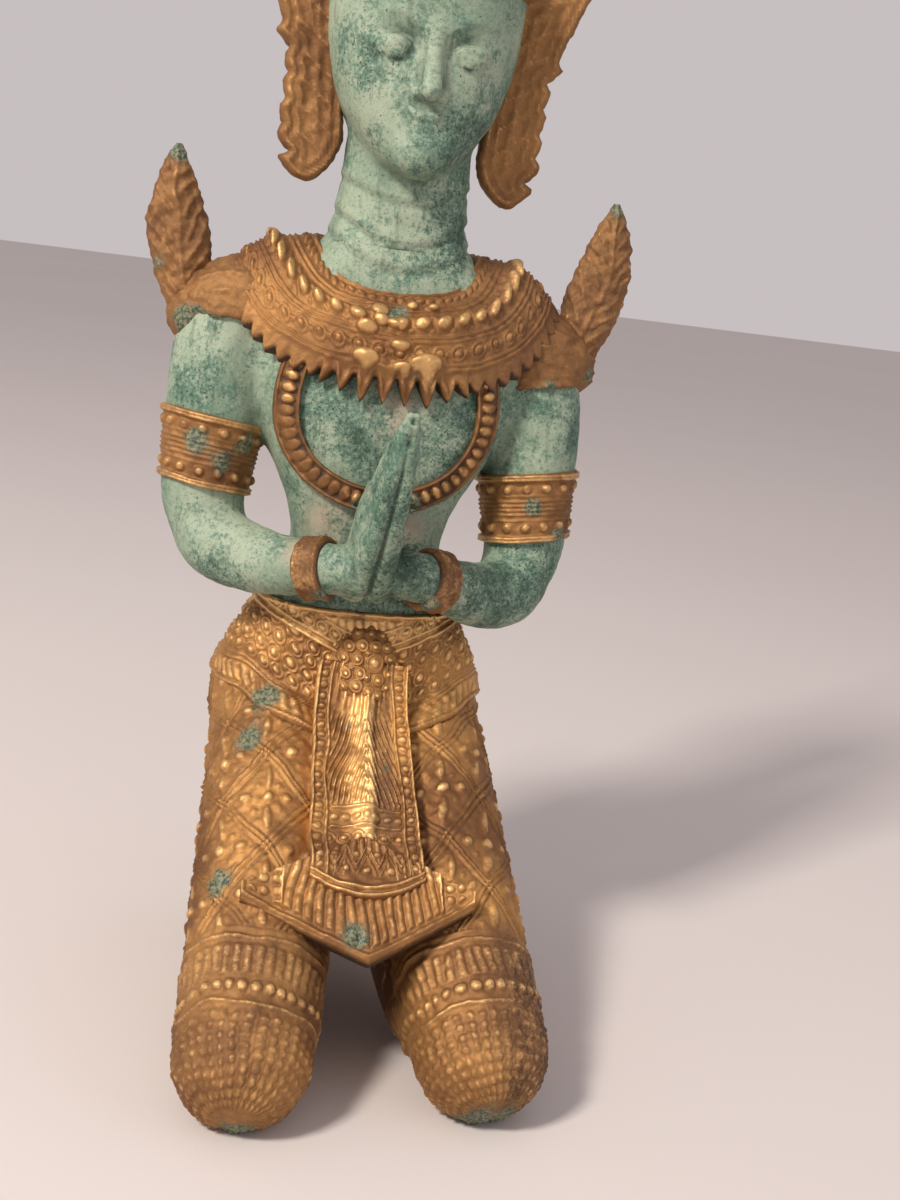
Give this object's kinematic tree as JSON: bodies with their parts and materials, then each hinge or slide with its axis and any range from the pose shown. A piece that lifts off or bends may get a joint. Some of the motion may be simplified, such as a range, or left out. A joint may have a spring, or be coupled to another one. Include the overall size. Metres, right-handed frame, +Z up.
{
  "type": "theppanom statue",
  "caption": "Small cast bronze figure of a kneeling deity with joined hands, tall tiered crown, toothed collar and shoulder flames; ornament.",
  "frame": {"origin": "middle of the base, on the ground under the knees and toes", "axes": "+Z up along the figure's height, -Y the way the figure faces, +X its left hand side"},
  "size_m": [0.091, 0.1012, 0.2711],
  "materials": {
    "patinated_bronze": "cast bronze under pale green and dark green patina, matt"
  },
  "bodies": {
    "root": {"theppanom_statue": "patinated_bronze"}
  },
  "joints": []
}
